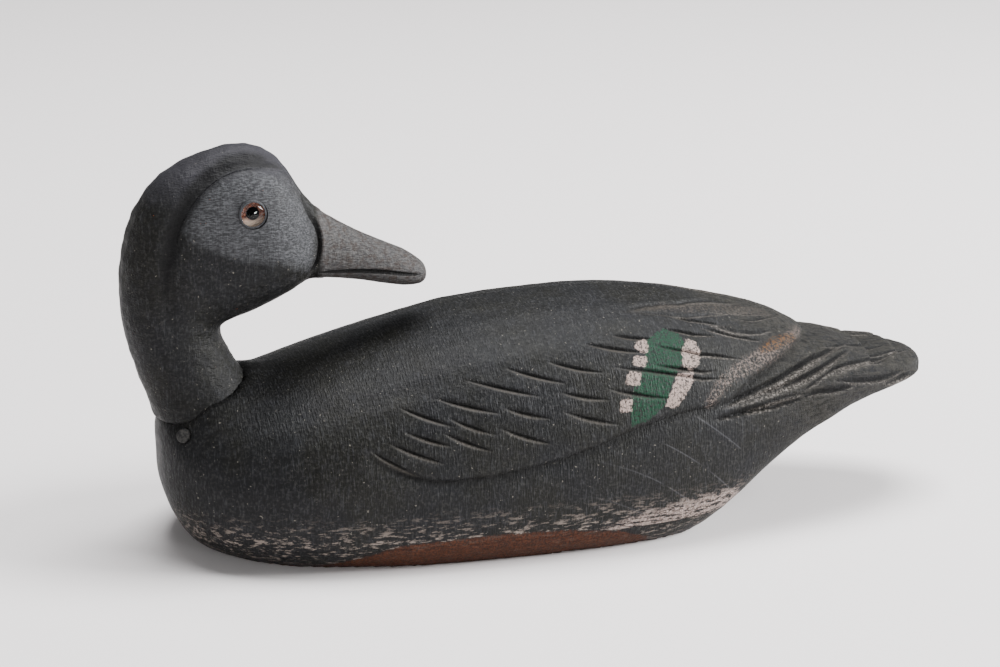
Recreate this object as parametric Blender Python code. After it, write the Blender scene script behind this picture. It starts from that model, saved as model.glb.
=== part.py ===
"""A hollow carved duck decoy: top block, bottom board, turned-back head, glass eyes and line tie.

Metres, +Z up. The origin is on the flat bottom, under the middle of the hull. The breast faces -X,
the tail +X, and the duck looks back over its tail. Driving sizes are in millimetres.
"""

import math

import bmesh
import bpy
from mathutils import Matrix, Vector

MM = 0.001
FIT = 0.3 * MM  # gap between pieces that touch

# Hull, top block and bottom board
BOARD_TOP = 10.0  # height of the glue line between the bottom board and the top block
HULL_ROUND = 32  # points round one hull section
HULL_STEPS = 2  # sections made between two stations
# station: x, half width, keel height, height of the widest point, back height, and the
# fullness of the section above and below the widest point (2 is an ellipse)
HULL = [
    (-118.3, 4.0, 31.0, 35.0, 45.0, 2.4, 2.6),
    (-117.6, 14.0, 25.0, 34.0, 50.0, 2.4, 2.7),
    (-114.0, 25.0, 14.0, 32.5, 55.5, 2.3, 2.8),
    (-107.5, 34.5, 4.5, 31.0, 59.0, 2.2, 2.9),
    (-97.0, 44.0, 0.0, 30.0, 62.3, 2.2, 3.0),
    (-82.0, 51.5, -3.6, 30.0, 66.0, 2.2, 3.0),
    (-62.0, 57.5, -6.2, 30.0, 71.6, 2.2, 3.1),
    (-35.0, 60.5, -8.5, 30.0, 79.6, 2.2, 3.2),
    (0.0, 61.8, -10.0, 30.0, 88.3, 2.2, 3.2),
    (35.0, 61.3, -9.6, 30.0, 91.3, 2.2, 3.2),
    (62.0, 59.3, -8.8, 31.0, 91.7, 2.2, 3.2),
    (84.0, 56.3, -7.6, 33.0, 89.6, 2.2, 3.0),
    (102.0, 52.5, 1.0, 37.0, 86.0, 2.2, 2.9),
    (120.0, 48.0, 16.0, 42.0, 82.0, 2.1, 2.7),
    (136.0, 43.5, 27.6, 46.5, 76.8, 2.0, 2.5),
    (148.0, 40.5, 34.0, 49.5, 70.0, 2.0, 2.5),
    (158.0, 37.0, 39.2, 51.5, 66.4, 2.1, 2.5),
    (172.0, 31.0, 43.4, 52.0, 62.4, 2.4, 2.5),
    (187.0, 23.0, 46.3, 51.7, 59.7, 2.6, 2.5),
    (196.0, 13.0, 47.3, 51.3, 56.8, 2.6, 2.5),
    (198.8, 4.0, 48.3, 51.0, 54.2, 2.5, 2.5),
]
# The hollow inside the top block, in the same columns; its lower half opens onto the board
HOLLOW_ROUND = 16
HOLLOW = [
    (-50.0, 18.0, -4.0, 20.0, 44.0, 2.4, 4.0),
    (-40.0, 36.0, -4.0, 20.0, 59.0, 2.4, 4.0),
    (0.0, 44.0, -4.0, 20.0, 73.0, 2.4, 4.0),
    (45.0, 43.5, -4.0, 20.0, 75.5, 2.4, 4.0),
    (78.0, 32.0, -4.0, 22.0, 67.0, 2.4, 4.0),
    (92.0, 14.0, -4.0, 24.0, 50.0, 2.4, 4.0),
]

# Head and neck, one carved block. station: throat x and z, nape x and z, half width,
# fullness of the section, and how much wider it is at the throat than at the nape
HEAD_ROUND = 24
HEAD_STEPS = 2
HEAD = [
    (-82.5, 61.9, -118.1, 53.0, 22.0, 2.3, 0.00),
    (-86.2, 71.0, -124.0, 68.5, 20.0, 2.2, 0.00),
    (-91.5, 81.5, -128.3, 84.5, 18.5, 2.2, 0.00),
    (-92.4, 88.0, -130.2, 101.0, 18.7, 2.2, 0.00),
    (-89.0, 90.4, -128.8, 117.5, 19.5, 2.3, 0.05),
    (-84.5, 92.1, -123.5, 134.0, 20.6, 2.4, 0.08),
    (-79.5, 93.9, -112.6, 147.2, 21.5, 2.5, 0.10),
    (-74.0, 96.4, -96.0, 155.6, 22.0, 2.5, 0.12),
    (-68.5, 98.9, -80.3, 158.0, 21.5, 2.5, 0.14),
    (-63.8, 101.1, -68.8, 152.4, 18.8, 2.5, 0.16),
    (-60.0, 103.2, -61.3, 141.4, 14.8, 2.4, 0.20),
    (-56.0, 104.3, -55.0, 132.6, 10.8, 2.3, 0.30),
    (-45.0, 103.4, -44.0, 125.1, 9.4, 2.2, 0.40),
    (-32.0, 101.2, -31.2, 118.2, 9.4, 2.2, 0.35),
    (-20.5, 98.9, -19.3, 112.6, 9.2, 2.2, 0.25),
    (-13.0, 99.2, -11.6, 107.0, 7.0, 2.2, 0.10),
    (-10.9, 101.2, -10.5, 104.2, 3.5, 2.2, 0.00),
]
INLET_HEIGHT = 20.0  # how far the neck's inlet cutter stands above the seat

# Joint between neck and body
DOWEL_X, DOWEL_RADIUS = -101.0, 6.0
DOWEL_BOTTOM, DOWEL_TOP = 34.0, 80.0
NAIL_HEAD_AT = (-110.5, 24.2, 50.9)  # on the breast, the right-hand nail
NAIL_TIP_AT = (-103.5, 2.6, 42.5)  # inside the dowel
NAIL_RADIUS, NAIL_HEAD_RADIUS, NAIL_HEAD_HEIGHT = 1.1, 2.9, 1.3

# Glass eye, set in a drilled socket. Depths run outwards from the cheek along the eye's axis
EYE_AT = (-80.9, 20.4, 135.3)
EYE_AXIS = (0.14, 0.985, 0.08)
EYE_ROUND = 20
GLASS_RADIUS, GLASS_BACK, GLASS_RIM, GLASS_DOME = 5.0, -2.4, -0.6, 1.9
PUPIL_RADIUS, IRIS_THICKNESS = 1.9, 0.5
PUTTY_RADIUS, PUTTY_BACK, PUTTY_FLOOR, PUTTY_LIP = 5.9, -5.0, -3.5, 0.6
EYE_WIRE_RADIUS, EYE_WIRE_LENGTH = 0.7, 5.0

# Bottom board hardware
BOARD_NAILS = [(-62.0, 39.0), (-14.0, 48.5), (38.0, 48.5), (86.0, 37.5)]  # and their mirror images
BOARD_NAIL_RADIUS, BOARD_NAIL_HEAD, BOARD_NAIL_TOP = 1.1, 2.5, 29.0
HEAD_SINK, HEAD_THICK = 0.5, 1.2  # nail heads stay this far inside the flat bottom
BALLAST_X, BALLAST_LENGTH, BALLAST_WIDTH, BALLAST_TOP = 50.0, 70.0, 28.0, 5.4
SCREW_SPACING, SCREW_RADIUS, SCREW_HEAD, SCREW_TOP = 46.0, 1.6, 3.4, 9.0

# Line tie: a staple through the board's pocket, and a ring that hinges in it
TIE_X, TIE_Z = -78.0, 5.1  # the hinge line of the ring, parallel to Y
WIRE_RADIUS = 1.25
RING_RADIUS, RING_REST = 10.0, 10.0  # mean radius, and degrees that it droops at rest
STAPLE_SPREAD, STAPLE_CROWN, STAPLE_TOP = 8.0, 2.2, 30.0
POCKET_FRONT, POCKET_BACK, POCKET_HALF_WIDTH = -87.0, -54.0, 13.5


def clear_scene():
    for obj in list(bpy.data.objects):
        bpy.data.objects.remove(obj)


def material(name, hex_colour, roughness, metallic=0.0, transmission=0.0):
    """A Principled material from an sRGB colour such as "2b2e31"."""
    channels = [int(hex_colour[i : i + 2], 16) / 255 for i in (0, 2, 4)]
    linear = [c / 12.92 if c <= 0.04045 else ((c + 0.055) / 1.055) ** 2.4 for c in channels]
    mat = bpy.data.materials.new(name)
    mat.use_nodes = True
    shader = mat.node_tree.nodes["Principled BSDF"]
    shader.inputs["Base Color"].default_value = (*linear, 1)
    shader.inputs["Roughness"].default_value = roughness
    shader.inputs["Metallic"].default_value = metallic
    shader.inputs["Transmission Weight"].default_value = transmission
    mat.diffuse_color = (*linear, 1)
    return mat


def add_object(name, bm, mat, matrix=None):
    """Turns the bmesh into a smooth-shaded object at the matrix's place."""
    mesh = bpy.data.meshes.new(name)
    bm.to_mesh(mesh)
    bm.free()
    mesh.shade_smooth()
    mesh.set_sharp_from_angle(angle=math.radians(40))
    mesh.materials.append(mat)
    obj = bpy.data.objects.new(name, mesh)
    obj.matrix_world = matrix or Matrix()
    bpy.context.scene.collection.objects.link(obj)
    return obj


def add_cutter(name, bm, matrix=None):
    cutter = add_object(name, bm, MATERIALS["cutter"], matrix)
    cutter.hide_render = True
    cutter.display_type = "WIRE"
    return cutter


def cut(target, *cutters):
    for cutter in cutters:
        modifier = target.modifiers.new(cutter.name, "BOOLEAN")
        modifier.operation = "DIFFERENCE"
        modifier.solver = "EXACT"
        modifier.object = cutter


def smooth_rows(rows, steps):
    """Rows between the given ones, on a Catmull-Rom curve through each column."""
    made = []
    for i in range(len(rows) - 1):
        before, a, b = rows[max(i - 1, 0)], rows[i], rows[i + 1]
        after = rows[min(i + 2, len(rows) - 1)]
        for step in range(steps):
            t = step / steps
            made.append([
                0.5 * (2 * q + (r - p) * t + (2 * p - 5 * q + 4 * r - s) * t**2
                       + (3 * q - p - 3 * r + s) * t**3)
                for p, q, r, s in zip(before, a, b, after)
            ])
    return made + [list(rows[-1])]


def round_power(angle, fullness):
    """Cosine and sine of the angle on a superellipse of that fullness."""
    c, s = math.cos(angle), math.sin(angle)
    return (math.copysign(abs(c) ** (2 / fullness), c), math.copysign(abs(s) ** (2 / fullness), s))


def hull_ring(row, count):
    """One cross-section of the hull, round the X axis."""
    x, half_width, keel, widest, back, full_top, full_bottom = row
    ring = []
    for i in range(count):
        angle = 2 * math.pi * (i + 0.5) / count
        side, up = round_power(angle, full_top if angle < math.pi else full_bottom)
        height = (back - widest) if up > 0 else (widest - keel)
        ring.append(Vector((x, half_width * side, widest + height * up)) * MM)
    return ring


def head_ring(row, count):
    """One cross-section of the head and neck, between its throat and nape points."""
    throat_x, throat_z, nape_x, nape_z, half_width, fullness, widening = row
    middle = Vector((throat_x + nape_x, 0, throat_z + nape_z)) / 2
    reach = Vector((throat_x - nape_x, 0, throat_z - nape_z)) / 2
    ring = []
    for i in range(count):
        along, side = round_power(2 * math.pi * i / count, fullness)
        width = half_width * side * (1 + widening * along)
        ring.append((middle + reach * along + Vector((0, width, 0))) * MM)
    return ring


def loft(rings):
    """A closed body through the rings, with flat ends: a grid wrapped round them."""
    around, along = len(rings[0]), len(rings) - 1
    bm = bmesh.new()
    bmesh.ops.create_grid(bm, x_segments=around, y_segments=along, size=1)
    for vert in bm.verts:
        i = round((vert.co.x + 1) / 2 * around) % around
        j = round((vert.co.y + 1) / 2 * along)
        vert.co = rings[j][i]
    bmesh.ops.remove_doubles(bm, verts=bm.verts, dist=1e-7)
    bmesh.ops.holes_fill(bm, edges=bm.edges, sides=0)
    bmesh.ops.recalc_face_normals(bm, faces=bm.faces)
    return bm


def slice_flat(bm, height, keep_above):
    """Cuts the body at that height in millimetres and closes it with a flat face."""
    bmesh.ops.bisect_plane(
        bm,
        geom=bm.verts[:] + bm.edges[:] + bm.faces[:],
        dist=1e-7,
        plane_co=(0, 0, height * MM),
        plane_no=(0, 0, 1),
        clear_inner=keep_above,
        clear_outer=not keep_above,
    )
    bmesh.ops.holes_fill(bm, edges=bm.edges, sides=0)
    bmesh.ops.recalc_face_normals(bm, faces=bm.faces)


def turned(profile, segments):
    """Spins (radius, height) points in millimetres round Z. The profile runs bottom to top."""
    bm = bmesh.new()
    points = [bm.verts.new(Vector((r, 0, z)) * MM) for r, z in profile]
    edges = [bm.edges.new(pair) for pair in zip(points, points[1:])]
    if profile[0][0] > 0 and profile[-1][0] > 0:
        edges.append(bm.edges.new((points[-1], points[0])))
    bmesh.ops.spin(
        bm, geom=points + edges, axis=(0, 0, 1), cent=(0, 0, 0), angle=2 * math.pi,
        steps=segments, use_merge=True,
    )
    bmesh.ops.remove_doubles(bm, verts=bm.verts, dist=1e-7)
    bmesh.ops.recalc_face_normals(bm, faces=bm.faces)
    return bm


def rod(radius, bottom, top, segments=16):
    return turned([(0, bottom), (radius, bottom), (radius, top), (0, top)], segments)


def along_axis(origin, axis):
    """Places a piece turned round Z at the origin, in millimetres, with Z along the axis."""
    turn = Vector(axis).to_track_quat("Z", "Y").to_matrix().to_4x4()
    return Matrix.Translation(Vector(origin) * MM) @ turn


def at(x, y):
    return Matrix.Translation(Vector((x, y, 0)) * MM)


def mirrored(point, side):
    return (point[0], side * point[1], point[2])


def seat_inlet():
    """The shallow oval inlet that the neck stands in: the neck's outline, raised straight up."""
    outline = [list(HEAD[0]), list(HEAD[0])]
    outline[0][0] += FIT / MM
    outline[0][2] -= FIT / MM
    outline[0][4] += FIT / MM
    outline[1][:] = outline[0]
    for column in (1, 3):
        outline[0][column] -= FIT / MM
        outline[1][column] += INLET_HEIGHT
    return add_cutter("inlet_cutter", loft([head_ring(row, HEAD_ROUND) for row in outline]))


def pocket_outline():
    """A long rounded outline for the line-tie pocket, from the board's bottom to its top."""
    bm = bmesh.new()
    radius = POCKET_HALF_WIDTH
    for centre, start in ((POCKET_BACK - radius, -90), (POCKET_FRONT + radius, 90)):
        for i in range(11):
            angle = math.radians(start + 18 * i)
            x, y = centre + radius * math.cos(angle), radius * math.sin(angle)
            bm.verts.new(Vector((x, y, -2)) * MM)
    face = bm.faces.new(bm.verts)
    made = bmesh.ops.extrude_face_region(bm, geom=[face])["geom"]
    top = [item for item in made if isinstance(item, bmesh.types.BMVert)]
    bmesh.ops.translate(bm, verts=top, vec=(0, 0, (BOARD_TOP + 4) * MM))
    bmesh.ops.recalc_face_normals(bm, faces=bm.faces)
    return bm


def block(length, width, bottom, top, bevel):
    """A box centred on Z, with its upright edges rounded off."""
    bm = bmesh.new()
    bmesh.ops.create_cube(bm, size=1)
    bmesh.ops.scale(bm, verts=bm.verts, vec=Vector((length, width, top - bottom)) * MM)
    bmesh.ops.translate(bm, verts=bm.verts, vec=(0, 0, (top + bottom) / 2 * MM))
    upright = [e for e in bm.edges if abs(e.verts[0].co.z - e.verts[1].co.z) > MM]
    bmesh.ops.bevel(bm, geom=upright, offset=bevel * MM, segments=4, profile=0.5, affect="EDGES")
    return bm


def wire(path, radius, sides=10):
    """A round wire along points in the XZ plane, with flat ends."""
    points = [Vector(point) for point in path]
    rings = []
    for i, point in enumerate(points):
        before, after = points[max(i - 1, 0)], points[min(i + 1, len(points) - 1)]
        normal = (after - before).cross(Vector((0, 1, 0))).normalized()
        second = (after - before).cross(normal).normalized()
        angles = [2 * math.pi * k / sides for k in range(sides)]
        rings.append([
            (point + radius * (normal * math.cos(a) + second * math.sin(a))) * MM for a in angles
        ])
    return loft(rings)


def make_hull():
    rings = [hull_ring(row, HULL_ROUND) for row in smooth_rows(HULL, HULL_STEPS)]
    shell = loft(rings)
    slice_flat(shell, BOARD_TOP + FIT / MM / 2, keep_above=True)
    board = loft(rings)
    slice_flat(board, BOARD_TOP - FIT / MM / 2, keep_above=False)
    slice_flat(board, 0, keep_above=True)
    return (
        add_object("body_shell", shell, MATERIALS["black_paint"]),
        add_object("bottom_board", board, MATERIALS["red_board"]),
    )


def make_hollow():
    rings = [hull_ring(row, HOLLOW_ROUND) for row in smooth_rows(HOLLOW, 2)]
    return add_cutter("hollow_cutter", loft(rings))


def make_head():
    rings = [head_ring(row, HEAD_ROUND) for row in smooth_rows(HEAD, HEAD_STEPS)]
    return add_object("head_neck", loft(rings), MATERIALS["black_paint"])


def make_dowel(shell, head):
    """The dowel that joins neck and body, and the two nails through the breast that lock it."""
    gap = FIT / MM
    place = at(DOWEL_X, 0)
    peg = rod(DOWEL_RADIUS, DOWEL_BOTTOM, DOWEL_TOP, 20)
    dowel = add_object("neck_dowel", peg, MATERIALS["bare_wood"], place)
    bore = rod(DOWEL_RADIUS + gap, DOWEL_BOTTOM - 0.5, DOWEL_TOP + 0.5, 20)
    hole = add_cutter("dowel_cutter", bore, place)
    cut(shell, hole)
    cut(head, hole)
    for side, name in ((-1, "left"), (1, "right")):
        head_at = Vector(mirrored(NAIL_HEAD_AT, side))
        tip_at = Vector(mirrored(NAIL_TIP_AT, side))
        length = (head_at - tip_at).length
        place = along_axis(head_at, head_at - tip_at)
        nail = turned(
            [
                (0, -length), (NAIL_RADIUS, 2.5 - length), (NAIL_RADIUS, -NAIL_HEAD_HEIGHT),
                (NAIL_HEAD_RADIUS, -NAIL_HEAD_HEIGHT), (NAIL_HEAD_RADIUS, -0.4),
                (NAIL_HEAD_RADIUS - 0.7, 0), (0, 0.2),
            ],
            14,
        )
        add_object("dowel_nail_" + name, nail, MATERIALS["painted_nail"], place)
        shank, rim, under_head = NAIL_RADIUS + gap, NAIL_HEAD_RADIUS + gap, -NAIL_HEAD_HEIGHT - gap
        hole = turned(
            [
                (0, -length - 0.5), (shank, -length - 0.5), (shank, under_head),
                (rim, under_head), (rim, 6), (0, 6),
            ],
            14,
        )
        cutter = add_cutter("nail_cutter_" + name, hole, place)
        cut(shell, cutter)
        cut(dowel, cutter)


def make_eye(head, side, name):
    """Glass dome, painted iris and pupil behind it, putty bed and wire, in a drilled socket."""
    place = along_axis(mirrored(EYE_AT, side), mirrored(EYE_AXIS, side))
    gap = FIT / MM
    socket = turned(
        [
            (0, PUTTY_BACK - EYE_WIRE_LENGTH), (EYE_WIRE_RADIUS + gap, PUTTY_BACK - EYE_WIRE_LENGTH),
            (EYE_WIRE_RADIUS + gap, PUTTY_BACK - gap), (PUTTY_RADIUS + gap, PUTTY_BACK - gap),
            (PUTTY_RADIUS + gap, 6), (0, 6),
        ],
        EYE_ROUND,
    )
    cut(head, add_cutter("socket_cutter_" + name, socket, place))

    lens_rim = GLASS_RADIUS - 0.4
    glass = turned(
        [
            (0, GLASS_BACK), (lens_rim, GLASS_BACK), (GLASS_RADIUS, GLASS_BACK + 0.4),
            (GLASS_RADIUS, GLASS_RIM),
        ] + [
            (GLASS_RADIUS * math.cos(a), GLASS_RIM + (GLASS_DOME - GLASS_RIM) * math.sin(a))
            for a in (math.pi / 2 * k / 5 for k in range(1, 5))
        ] + [(0, GLASS_DOME)],
        EYE_ROUND,
    )
    add_object("eye_glass_" + name, glass, MATERIALS["eye_glass"], place)
    iris_top = GLASS_BACK - gap
    iris_bottom = iris_top - IRIS_THICKNESS
    pupil = rod(PUPIL_RADIUS, iris_bottom, iris_top)
    add_object("eye_pupil_" + name, pupil, MATERIALS["pupil"], place)
    inner = PUPIL_RADIUS + gap
    iris = turned(
        [(inner, iris_bottom), (lens_rim, iris_bottom), (lens_rim, iris_top), (inner, iris_top)], EYE_ROUND
    )
    add_object("eye_iris_" + name, iris, MATERIALS["iris"], place)
    bore, bed = EYE_WIRE_RADIUS + gap, GLASS_RADIUS + gap
    putty = turned(
        [
            (bore, PUTTY_BACK), (PUTTY_RADIUS, PUTTY_BACK), (PUTTY_RADIUS, PUTTY_LIP - 0.4),
            (PUTTY_RADIUS - 0.25, PUTTY_LIP), (bed, PUTTY_LIP - 0.2), (bed, PUTTY_FLOOR),
            (bore, PUTTY_FLOOR),
        ],
        EYE_ROUND,
    )
    add_object("eye_putty_" + name, putty, MATERIALS["putty"], place)
    stub = rod(EYE_WIRE_RADIUS, PUTTY_BACK - EYE_WIRE_LENGTH + 0.5, PUTTY_FLOOR, 10)
    add_object("eye_wire_" + name, stub, MATERIALS["wire"], place)


def make_board_nails(shell, board):
    """Wire nails, driven up through the bottom board into the walls of the top block."""
    gap = FIT / MM
    head_top = HEAD_SINK + HEAD_THICK
    nail = [
        (0, HEAD_SINK), (BOARD_NAIL_HEAD, HEAD_SINK), (BOARD_NAIL_HEAD, head_top),
        (BOARD_NAIL_RADIUS, head_top), (BOARD_NAIL_RADIUS, BOARD_NAIL_TOP - 3), (0, BOARD_NAIL_TOP),
    ]
    hole = [
        (0, -1), (BOARD_NAIL_HEAD + gap, -1), (BOARD_NAIL_HEAD + gap, head_top + gap),
        (BOARD_NAIL_RADIUS + gap, head_top + gap), (BOARD_NAIL_RADIUS + gap, BOARD_NAIL_TOP + 0.5),
        (0, BOARD_NAIL_TOP + 0.5),
    ]
    for i, (x, y) in enumerate(BOARD_NAILS, 1):
        for side, name in ((-1, "left"), (1, "right")):
            place = at(x, side * y)
            add_object(f"board_nail_{name}_{i}", turned(nail, 12), MATERIALS["nail"], place)
            cutter = add_cutter(f"board_nail_cutter_{name}_{i}", turned(hole, 12), place)
            cut(shell, cutter)
            cut(board, cutter)


def make_ballast(board):
    """A lead bar let into the board's underside, and its two screws."""
    gap = FIT / MM
    lead_bar = block(BALLAST_LENGTH, BALLAST_WIDTH, HEAD_SINK, BALLAST_TOP, 4)
    bar = add_object("ballast_weight", lead_bar, MATERIALS["lead"], at(BALLAST_X, 0))
    pocket = block(BALLAST_LENGTH + 2 * gap, BALLAST_WIDTH + 2 * gap, -2, BALLAST_TOP + gap, 4)
    cut(board, add_cutter("ballast_cutter", pocket, at(BALLAST_X, 0)))
    cone = SCREW_HEAD - SCREW_RADIUS  # height of the 90 degree countersink
    for x, name in ((-SCREW_SPACING / 2, "front"), (SCREW_SPACING / 2, "rear")):
        screw = [
            (0, HEAD_SINK), (SCREW_HEAD, HEAD_SINK), (SCREW_HEAD, HEAD_SINK + 0.3),
            (SCREW_RADIUS, HEAD_SINK + 0.3 + cone), (SCREW_RADIUS, SCREW_TOP - 1), (0, SCREW_TOP),
        ]
        hole = [
            (0, -1), (SCREW_HEAD + gap, -1), (SCREW_HEAD + gap, HEAD_SINK + 0.3 + gap),
            (SCREW_RADIUS + gap, HEAD_SINK + 0.3 + gap + cone), (SCREW_RADIUS + gap, SCREW_TOP + 0.3),
            (0, SCREW_TOP + 0.3),
        ]
        add_object("ballast_screw_" + name, turned(screw, 14), MATERIALS["nail"], at(BALLAST_X + x, 0))
        cutter = add_cutter("screw_cutter_" + name, turned(hole, 14), at(BALLAST_X + x, 0))
        cut(bar, cutter)
        cut(board, cutter)


def make_line_tie(shell, board):
    """The staple, whose legs are driven up into the solid breast, and the ring that hinges in it."""
    cut(board, add_cutter("pocket_cutter", pocket_outline()))
    half = STAPLE_SPREAD / 2
    bend = 2.5
    corners = [
        (
            TIE_X + side * (half - bend + bend * math.sin(math.radians(angle))),
            0,
            STAPLE_CROWN + bend - bend * math.cos(math.radians(angle)),
        )
        for side, angles in ((-1, (90, 60, 30, 0)), (1, (0, 30, 60, 90)))
        for angle in angles
    ]
    path = [(TIE_X - half, 0, STAPLE_TOP)] + corners + [(TIE_X + half, 0, STAPLE_TOP)]
    add_object("line_tie_staple", wire(path, WIRE_RADIUS), MATERIALS["wire"])
    for side, name in ((-1, "front"), (1, "rear")):
        leg = rod(WIRE_RADIUS + FIT / MM, 4, STAPLE_TOP + 0.5, 12)
        cut(shell, add_cutter("staple_cutter_" + name, leg, at(TIE_X + side * half, 0)))

    ring = turned(
        [
            (RING_RADIUS + WIRE_RADIUS * math.cos(a), WIRE_RADIUS * math.sin(a))
            for a in (2 * math.pi * k / 10 for k in range(10))
        ],
        32,
    )
    bmesh.ops.translate(ring, verts=ring.verts, vec=(RING_RADIUS * MM, 0, 0))
    droop = Matrix.Rotation(math.radians(RING_REST), 4, "Y")
    hinge = Matrix.Translation(Vector((TIE_X, 0, TIE_Z)) * MM) @ droop
    add_object("line_tie_ring", ring, MATERIALS["wire"], hinge)


clear_scene()
MATERIALS = {
    "black_paint": material("black_paint", "33363a", 0.6),
    "red_board": material("red_board", "6b3c26", 0.75),
    "bare_wood": material("bare_wood", "b08a5c", 0.8),
    "painted_nail": material("painted_nail", "4a4c4e", 0.55),
    "nail": material("nail", "6a5f57", 0.5, metallic=0.9),
    "wire": material("wire", "8a7a5c", 0.4, metallic=1.0),
    "lead": material("lead", "74777a", 0.6, metallic=0.8),
    "eye_glass": material("eye_glass", "ffffff", 0.03, transmission=1.0),
    "iris": material("iris", "a5572a", 0.35),
    "pupil": material("pupil", "0a0908", 0.3),
    "putty": material("putty", "2a2826", 0.7),
    "cutter": material("cutter", "ff00ff", 0.5),
}

body_shell, bottom_board = make_hull()
head_neck = make_head()
cut(body_shell, make_hollow(), seat_inlet())
make_dowel(body_shell, head_neck)
for eye_side, eye_name in ((-1, "left"), (1, "right")):
    make_eye(head_neck, eye_side, eye_name)
make_board_nails(body_shell, bottom_board)
make_ballast(bottom_board)
make_line_tie(body_shell, bottom_board)
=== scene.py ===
"""A hunter's working duck decoy: the carved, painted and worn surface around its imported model.

Metres, +Z up, breast towards -X. Marks on the carving are given in millimetres and degrees.
"""

import math

import bmesh
import bpy
import numpy as np
from mathutils import Matrix, Vector, noise
from mathutils.bvhtree import BVHTree


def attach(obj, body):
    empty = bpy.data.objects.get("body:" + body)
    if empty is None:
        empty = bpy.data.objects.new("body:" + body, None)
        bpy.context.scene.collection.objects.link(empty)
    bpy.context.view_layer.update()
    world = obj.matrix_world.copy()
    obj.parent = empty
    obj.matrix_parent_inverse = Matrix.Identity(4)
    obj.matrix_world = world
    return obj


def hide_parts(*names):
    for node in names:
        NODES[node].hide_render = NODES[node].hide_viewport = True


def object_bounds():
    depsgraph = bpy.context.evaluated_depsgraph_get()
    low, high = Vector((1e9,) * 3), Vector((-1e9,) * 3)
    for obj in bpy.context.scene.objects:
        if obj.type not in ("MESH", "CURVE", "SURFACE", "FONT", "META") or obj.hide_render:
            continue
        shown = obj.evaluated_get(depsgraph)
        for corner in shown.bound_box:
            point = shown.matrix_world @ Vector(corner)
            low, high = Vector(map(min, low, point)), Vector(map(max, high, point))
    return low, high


MM = 0.001
METRE = 1000  # in millimetres: a pattern with waves of some size has the scale METRE / size
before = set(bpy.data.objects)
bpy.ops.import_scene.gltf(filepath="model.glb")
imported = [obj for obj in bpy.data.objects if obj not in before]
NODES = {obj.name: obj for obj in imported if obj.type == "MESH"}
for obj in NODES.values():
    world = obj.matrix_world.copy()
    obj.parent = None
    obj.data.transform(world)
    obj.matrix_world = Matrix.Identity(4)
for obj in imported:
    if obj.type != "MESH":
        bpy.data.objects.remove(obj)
CAD_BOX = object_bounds()
SIDES = ((-1, "left"), (1, "right"))

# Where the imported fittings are, for +Y: an eye and the way it looks, and a breast nail's two ends
EYE_AT, EYE_AXIS = (-80.9, 20.4, 135.3), (0.14, 0.985, 0.08)
NAIL_HEAD, NAIL_TIP = (-110.5, 24.2, 50.9), (-103.5, 2.6, 42.5)
NAIL_LENGTH = (Vector(NAIL_HEAD) - Vector(NAIL_TIP)).length
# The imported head's bores, a hair wide: the dowel's along Z, and the eyes' walls and their rims
DOWEL_X, DOWEL_BORE, DOWEL_TOP = -101, 6.32, 81
EYE_BORE, EYE_BORE_RIM = 6.22, 6.23
WIDEST = 30  # the height where the hull is widest
BLOCK_FOOT, BOARD_FACE = 10.06, 9.94  # the two sides of the glued joint, a hair apart

# How far the hull's side reaches round its section, at places along X, to lay the side flat
SIDE_X = [-118, -80, -40, 90, 120, 150, 175, 198]
SIDE_REACH = [22, 45, 57, 56, 47, 35, 27, 16]

# Marks on the hull: X, and the angle round the section above the widest point
WING_EDGE = [
    (-46, 18), (-40, 14), (-35, 11.5), (-24, 7.5), (-12, 6), (5, 7), (19, 9), (31, 11), (43, 14),
    (55, 18), (66, 21), (83, 25), (95, 26.5), (104, 28),
]
WING_END = [(97, 25), (104, 29), (111, 36), (120, 42), (127, 48), (136, 57), (142, 64), (147, 84)]
WORN_EDGE = [(92, 28), (98, 35), (107, 41), (117, 46), (127, 53), (135, 61), (141, 72)]
FEATHER_CUTS = [
    ((44, 53), (68, 48)), ((28, 47), (49, 41)), ((11, 46), (34, 38)), ((-5, 43), (23, 34)),
    ((-17, 37), (7, 29)), ((-31, 35), (-12, 26)), ((31, 35), (50, 31)), ((8, 31), (26, 26)),
    ((-13, 29), (4, 22)), ((31, 28), (53, 22)), ((6, 24), (26, 17)), ((-16, 24), (3, 16)),
    ((-31, 26), (-13, 19)), ((-37, 22), (-16, 13)), ((-44, 20), (-26, 9)),
    ((56, 56), (73, 54)), ((77, 59), (100, 56)), ((71, 51), (110, 45)), ((53, 43), (100, 37)),
    ((50, 35), (75, 30)), ((70, 43), (96, 40)), ((80, 67), (106, 62)), ((94, 60), (120, 55)),
]
TAIL_GROOVES = [  # path, depth, width above, width below
    ([(97, 26), (110, 31), (119, 35), (139, 47), (152, 59), (164, 72)], 1.9, 1.3, 3.6),
    ([(103, 26), (114, 30), (123, 33), (133, 37), (144, 43), (162, 61)], 1.7, 1.0, 3.0),
    ([(92, 20), (104, 22), (119, 24), (133, 27)], 1.9, 3.2, 0.9),
    ([(133, 28), (141, 30), (150, 30), (161, 35)], 1.2, 2.0, 0.9),
    ([(147, 39), (162, 49), (176, 52)], 1.2, 0.9, 2.4),
    ([(149, 36), (164, 35), (183, 45)], 1.3, 1.8, 1.2),
    ([(132, 30), (142, 37), (151, 44), (164, 50), (190, 74)], 1.2, 0.9, 1.8),
    ([(150, 62), (168, 72), (184, 80)], 1.0, 0.8, 2.2),
    ([(172, 36), (184, 42), (193, 52)], 1.0, 1.2, 1.6),
    ([(108, 24), (122, 28), (134, 30)], 0.9, 0.9, 1.6),
    ([(168, 58), (182, 66), (192, 76)], 0.8, 0.8, 1.6),
]
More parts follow.
